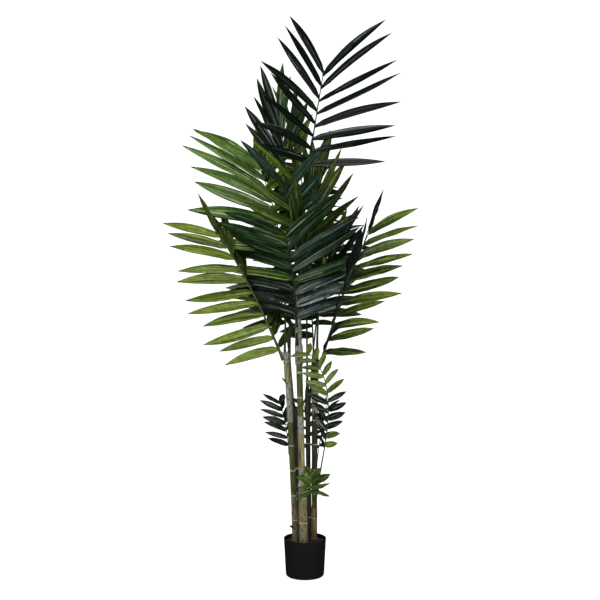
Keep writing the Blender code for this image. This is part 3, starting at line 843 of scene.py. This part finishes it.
def cane_rings(cane, heights, scars, grain):
    """Rings of points up a cane, with its scars and the relief of what covers it."""
    angles = around(CANE_ROUND)
    zones = ZONES[cane.name]
    rings = []
    for z in heights:
        near = z - scars[np.argmin(np.abs(scars - z))]
        ridge = SCAR_RIDGE * math.exp(-(near / SCAR_HALF) ** 2)
        groove = SCAR_GROOVE * math.exp(-((near - GROOVE_RISE) / GROOVE_HALF) ** 2)
        depth = RELIEF.get(zones[zone_number(zones, z)][1], PLAIN_RELIEF)
        relief = depth * wave_mean(grain, angles, z)
        radius = cane_radius(cane, min(z, cane.height)) + ridge - groove + relief
        rings.append(ring_points(cane_point(cane, z), radius, angles, X_AXIS, Y_AXIS))
    return np.array(rings)


def cane_numbers(cane, names, heights, scars, wander):
    """A material number for each face of a cane: its zone's, or the ring's where a scar is bare."""
    zones = ZONES[cane.name]
    middles = heights[:-1, None] + CANE_ROW / 2
    edges = EDGE_WANDER * wave_mean(wander, around(CANE_ROUND))
    zone = zone_number(zones, middles + edges)
    fibrous = np.array([name.startswith("fibre") for _, name in zones])[zone]
    scarred = np.abs(middles - scars).min(1, keepdims=True) < SCAR_HALF
    numbers = np.array([names.index(name) for _, name in zones])[zone]
    return np.where(scarred & ~fibrous, names.index("cane_ring"), numbers)


def cane_piece(cane, finishes):
    """A cane with scar rings, fibres and bark relief, coloured zone by zone and closed at its top."""
    dice = random.Random(cane.name)
    heights = np.arange(FILL_TOP - CANE_SUNK, cane.height + CANE_ROW / 2, CANE_ROW)
    scars = np.arange(FILL_TOP + FIRST_RING, cane.height - SHEATH_LENGTH, RING_SPACING)
    grain = waves(dice, *GRAIN_WAVES)
    wander = waves(dice, *EDGE_WAVES)
    rings = cane_rings(cane, heights, scars, grain)
    points = np.vstack([rings.reshape(-1, 3), rings[-1].mean(0)])
    hub = len(points) - 1
    last = hub - CANE_ROUND
    cap = [[last + j, last + (j + 1) % CANE_ROUND, hub] for j in range(CANE_ROUND)]
    zone_names = [name for _, name in ZONES[cane.name]]
    names = ["cane_ring"] + sorted(set(zone_names))
    numbers = cane_numbers(cane, names, heights, scars, wander)
    numbers = np.append(numbers, [names.index(zone_names[-1])] * len(cap))
    faces = grid_faces(len(heights), CANE_ROUND, True) + cap
    obj = add_piece(cane.name + "_bark", points, faces, [finishes[name] for name in names], numbers)
    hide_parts(cane.name)


# Leaf bases clasp the cane below each large frond, the lowest outermost. Each wraps the cane by the
# first half-angle, parts from it between two heights and wraps its stalk by the second.
SHEATH_ROWS = 30
SHEATH_COLUMNS = 21
SHEATH_RISE = 0.075
SHEATH_SKIN = 0.0008
SHEATH_STEP = 0.0007
SHEATH_CLEAR = 0.0006
SHEATH_LOOSE = 1.12
SHEATH_DEPTHS = (0.03, 0.08)
SHEATH_HALVES = (165, 105)
SHEATH_PARTING = (-0.01, 0.055)
SHEATH_CORNERS = 0.35
RAG_WAVES = (5, 2, 9)
RAG_PACE = 3
LOW_RAG = 0.018
HIGH_RAG = 0.008
PUCKER = 0.0003
PUCKER_PACE = 9
PUCKER_SHIFT = 3
SHEATH_LOOKS = {
    "cane_left": ("fibre_grey", "sheath_green", "fibre_straw"),
    "cane_front": ("sheath_green", "fibre_grey", "sheath_green", "sheath_green", "fibre_grey"),
    "cane_right": ("sheath_dark", "sheath_green", "fibre_grey"),
    # The back canes' sheaths take dark copies only: painted shade.
    "cane_back": ("sheath_dark", "fibre_dark"),
    "cane_rear_left": ("sheath_dark",),
}


def sheath_section(frond, cane, fine, rank, above):
    """Centre and radius of a sheath above its frond's foot, and how far it has left the cane."""
    leave = float(smooth(*SHEATH_PARTING, above))
    share = max(above, 0.0) / (frond.stalk + frond.blade)
    stem_radius = stalk_radius(frond, share) * STALK_SLIM * SHEATH_LOOSE
    z = frond.height + above
    trunk = cane_point(cane, min(z, cane.height))
    trunk_radius = cane_radius(cane, min(z, cane.height - TIP_LENGTH)) + SHEATH_CLEAR + SHEATH_STEP * rank
    center = trunk + (on_line(fine, share) - trunk) * leave
    return center, trunk_radius + (stem_radius - trunk_radius) * leave, leave


def sheath_piece(frond, cane, line, rank, finishes):
    """A ragged sheath that wraps the cane below a frond's foot and closes round its stalk."""
    dice = random.Random(frond.name + "_sheath")
    fine = smooth_points(line, STALK_FINE)
    depth = dice.uniform(*SHEATH_DEPTHS)
    share = np.linspace(-1, 1, SHEATH_COLUMNS)
    torn = wave_mean(waves(dice, *RAG_WAVES), RAG_PACE * share)
    low = -depth + LOW_RAG * torn
    high = SHEATH_RISE * (1 - SHEATH_CORNERS * share ** 2) + HIGH_RAG * torn[::-1]
    points = np.empty((SHEATH_ROWS, SHEATH_COLUMNS, 3))
    for i in range(SHEATH_ROWS):
        for j, across in enumerate(share):
            above = low[j] + (high[j] - low[j]) * i / (SHEATH_ROWS - 1)
            center, radius, leave = sheath_section(frond, cane, fine, rank, above)
            radius += PUCKER * math.sin(PUCKER_PACE * across + PUCKER_SHIFT * frond.turn) * (1 - leave)
            half = SHEATH_HALVES[0] + (SHEATH_HALVES[1] - SHEATH_HALVES[0]) * leave
            points[i, j] = center + radius * direction(90, frond.turn + across * half)
    looks = SHEATH_LOOKS[cane.name]
    finish = finishes[looks[rank % len(looks)]]
    faces = grid_faces(SHEATH_ROWS, SHEATH_COLUMNS, False)
    obj = add_piece(frond.name + "_sheath", points, faces, [finish])
    skin = obj.modifiers.new("skin", "SOLIDIFY")
    skin.thickness = SHEATH_SKIN
    skin.offset = 1.0


def make_sheaths(lines, finishes):
    """A sheath for each large frond of a cane, from the highest down."""
    for cane in CANES:
        carried = [f for f in FRONDS if f.cane == cane.name and not f.name.startswith("sprig")]
        carried.sort(key=lambda f: -f.height)
        for rank, frond in enumerate(carried):
            sheath_piece(frond, cane, lines[frond.name], rank, finishes)


# Pot and fill.
POT_HEIGHT = 0.160
POT_RIM_RADIUS = 0.090
POT_FOOT_RADIUS = 0.081
POT_WALL = 0.003
POT_FOOT_ROUND = 0.009
POT_ROUND = 96
POT_HUB = 0.001
POT_UNDERSIDE = 0.04
POT_INNER_DEPTH = 0.006
FOOT_STEPS = 10
WALL_STEPS = 12
LIP_STEPS = 9
FILL_ROWS = 22
FILL_HUB = 0.0005
FILL_CLEAR = 0.0004
FILL_LUMPS = 9
FILL_PACE = (60, 220)
FILL_RELIEF = 0.0003
FILL_DIP = 0.001


def pot_radius(z):
    return POT_FOOT_RADIUS + (POT_RIM_RADIUS - POT_FOOT_RADIUS) * z / POT_HEIGHT


def turned_points(profile):
    """Rings of points from a profile of (radius, height), turned round the pot's axis."""
    angles = around(POT_ROUND)
    return np.array([ring_points(np.array([0.0, 0.0, z]), r, angles, X_AXIS, Y_AXIS) for r, z in profile])


def make_pot():
    """A smooth moulded tub with a rounded foot and lip, open down to its fill."""
    profile = [(POT_HUB, 0.0), (POT_UNDERSIDE, 0.0)]
    for a in np.radians(np.linspace(0, 90, FOOT_STEPS)):
        z = POT_FOOT_ROUND * (1 - math.cos(a))
        profile.append((pot_radius(z) - POT_FOOT_ROUND * (1 - math.sin(a)), z))
    lip = POT_WALL / 2
    for z in np.linspace(POT_FOOT_ROUND, POT_HEIGHT - lip, WALL_STEPS)[1:-1]:
        profile.append((pot_radius(z), z))
    for a in np.radians(np.linspace(0, 180, LIP_STEPS)):
        radius = pot_radius(POT_HEIGHT) - lip + lip * math.cos(a)
        profile.append((radius, POT_HEIGHT - lip + lip * math.sin(a)))
    profile.append((pot_radius(FILL_TOP) - POT_WALL, FILL_TOP - POT_INNER_DEPTH))
    faces = grid_faces(len(profile), POT_ROUND, True)
    obj = add_piece("pot_shell", turned_points(profile), faces, [pot_material()])
    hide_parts("pot")


def make_fill():
    """Rough dark cement round the canes."""
    dice = random.Random("fill")
    lumps = []
    for _ in range(FILL_LUMPS):
        lumps.append((dice.uniform(*FILL_PACE), dice.uniform(*FILL_PACE), dice.uniform(0, PHASES)))
    radius = pot_radius(FILL_TOP) - POT_WALL - FILL_CLEAR
    profile = [(max(radius * i / FILL_ROWS, FILL_HUB), FILL_TOP) for i in range(FILL_ROWS + 1)]
    points = turned_points(profile)
    x, y = points[..., 0], points[..., 1]
    points[..., 2] += FILL_RELIEF * sum(np.sin(a * x + b * y + c) for a, b, c in lumps) - FILL_DIP
    faces = grid_faces(len(profile), POT_ROUND, True)
    obj = add_piece("fill_top", points, faces, [cement_material()])
    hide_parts("pot_fill")


# Stage: a pale sweep behind and below the plant.
SWEEP_FRONT = -2.6
SWEEP_BACK = 3.2
SWEEP_BEND = 1.6
SWEEP_STEPS = 13
SWEEP_TOP = 9.0
SWEEP_HALF = 9.0
SWEEP_BELOW = 0.0005
SWEEP_COLOUR = (0.5, 0.5, 0.5, 1.0)
SWEEP_GLOW = 0.8
WHITE = (1.0, 1.0, 1.0, 1.0)


def sweep_material():
    """Matt paper that glows a little, so that it shows white."""
    made, shader, _ = new_material("sweep_white", roughness=0.9, specular=0.1)
    shader.inputs["Base Color"].default_value = SWEEP_COLOUR
    shader.inputs["Emission Color"].default_value = WHITE
    shader.inputs["Emission Strength"].default_value = SWEEP_GLOW
    return made


def make_stage():
    """A floor that bends up into a back wall."""
    profile = [(SWEEP_FRONT, 0.0), (SWEEP_BACK, 0.0)]
    for a in np.radians(np.linspace(0, 90, SWEEP_STEPS)):
        profile.append((SWEEP_BACK + SWEEP_BEND * math.sin(a), SWEEP_BEND * (1 - math.cos(a))))
    profile.append((SWEEP_BACK + SWEEP_BEND, SWEEP_TOP))
    points = [(x, y, z - SWEEP_BELOW) for y, z in profile for x in (-SWEEP_HALF, SWEEP_HALF)]
    sweep = mesh_object("sweep", points, grid_faces(len(profile), 2, False), [sweep_material()])
    sweep.visible_glossy = False


# Soft round lights, each aimed at a point. Those above and behind are not mirrored in the leaflets.
Light = namedtuple("Light", "name place aim size power mirrored")
LIGHTS = (
    Light("key", (-2.2, -3.0, 4.0), (0.0, 0.0, 1.2), 1.6, 110, True),
    Light("fill", (3.0, -2.8, 2.6), (0.0, 0.0, 1.1), 1.8, 50, True),
    Light("front", (-0.6, -4.2, 3.4), (0.0, 0.0, 1.2), 1.0, 55, True),
    Light("top", (0.3, 0.2, 5.0), (0.0, 0.0, 0.0), 1.8, 70, False),
    Light("rear", (-1.2, 3.0, 3.2), (0.0, 0.0, 1.2), 1.8, 50, False),
)


def make_lights():
    for light in LIGHTS:
        lamp = bpy.data.lights.new(light.name, "AREA")
        lamp.shape = "DISK"
        lamp.size = light.size
        lamp.energy = light.power
        obj = bpy.data.objects.new(light.name, lamp)
        obj.location = light.place
        aim = Vector(light.aim) - Vector(light.place)
        obj.rotation_euler = aim.to_track_quat("-Z", "Y").to_euler()
        obj.visible_glossy = light.mirrored
        bpy.context.scene.collection.objects.link(obj)


# The white surroundings light the plant softly, show white, and are hardly mirrored in its gloss.
WORLD_LIGHT = 0.16
WORLD_SEEN = 0.84
WORLD_MIRRORED = 0.03


def added_for(tree, ray, amount):
    """A node that adds an amount to its last input for one kind of ray."""
    node = tree.nodes.new("ShaderNodeMath")
    node.operation = "MULTIPLY_ADD"
    tree.links.new(ray, node.inputs[0])
    node.inputs[1].default_value = amount
    return node


def make_world():
    """White surroundings whose strength depends on what sees them."""
    world = bpy.data.worlds.new("studio")
    world.use_nodes = True
    tree = world.node_tree
    background = tree.nodes["Background"]
    background.inputs["Color"].default_value = WHITE
    path = tree.nodes.new("ShaderNodeLightPath")
    seen = added_for(tree, path.outputs["Is Camera Ray"], WORLD_SEEN)
    seen.inputs[2].default_value = WORLD_LIGHT
    mirrored = added_for(tree, path.outputs["Is Glossy Ray"], WORLD_MIRRORED - WORLD_LIGHT)
    tree.links.new(seen.outputs[0], mirrored.inputs[2])
    tree.links.new(mirrored.outputs[0], background.inputs["Strength"])
    bpy.context.scene.world = world
    bpy.context.scene.view_settings.view_transform = "Standard"


# The photograph's camera, level in front of the plant.
CAMERA_AT = (-0.021, -3.90, 1.17)
LENS = 55.0
SENSOR = 36.0


def make_camera():
    lens = bpy.data.cameras.new("camera")
    lens.lens = LENS
    lens.sensor_width = SENSOR
    camera = bpy.data.objects.new("camera", lens)
    camera.location = CAMERA_AT
    camera.rotation_euler = (math.radians(90), 0.0, 0.0)
    bpy.context.scene.collection.objects.link(camera)
    bpy.context.scene.camera = camera


finishes = make_finishes()
lines = make_fronds(finishes)
for cane in CANES:
    cane_piece(cane, finishes)
make_sheaths(lines, finishes)
make_strays(finishes)
make_pot()
make_fill()
make_stage()
make_lights()
make_world()
make_camera()
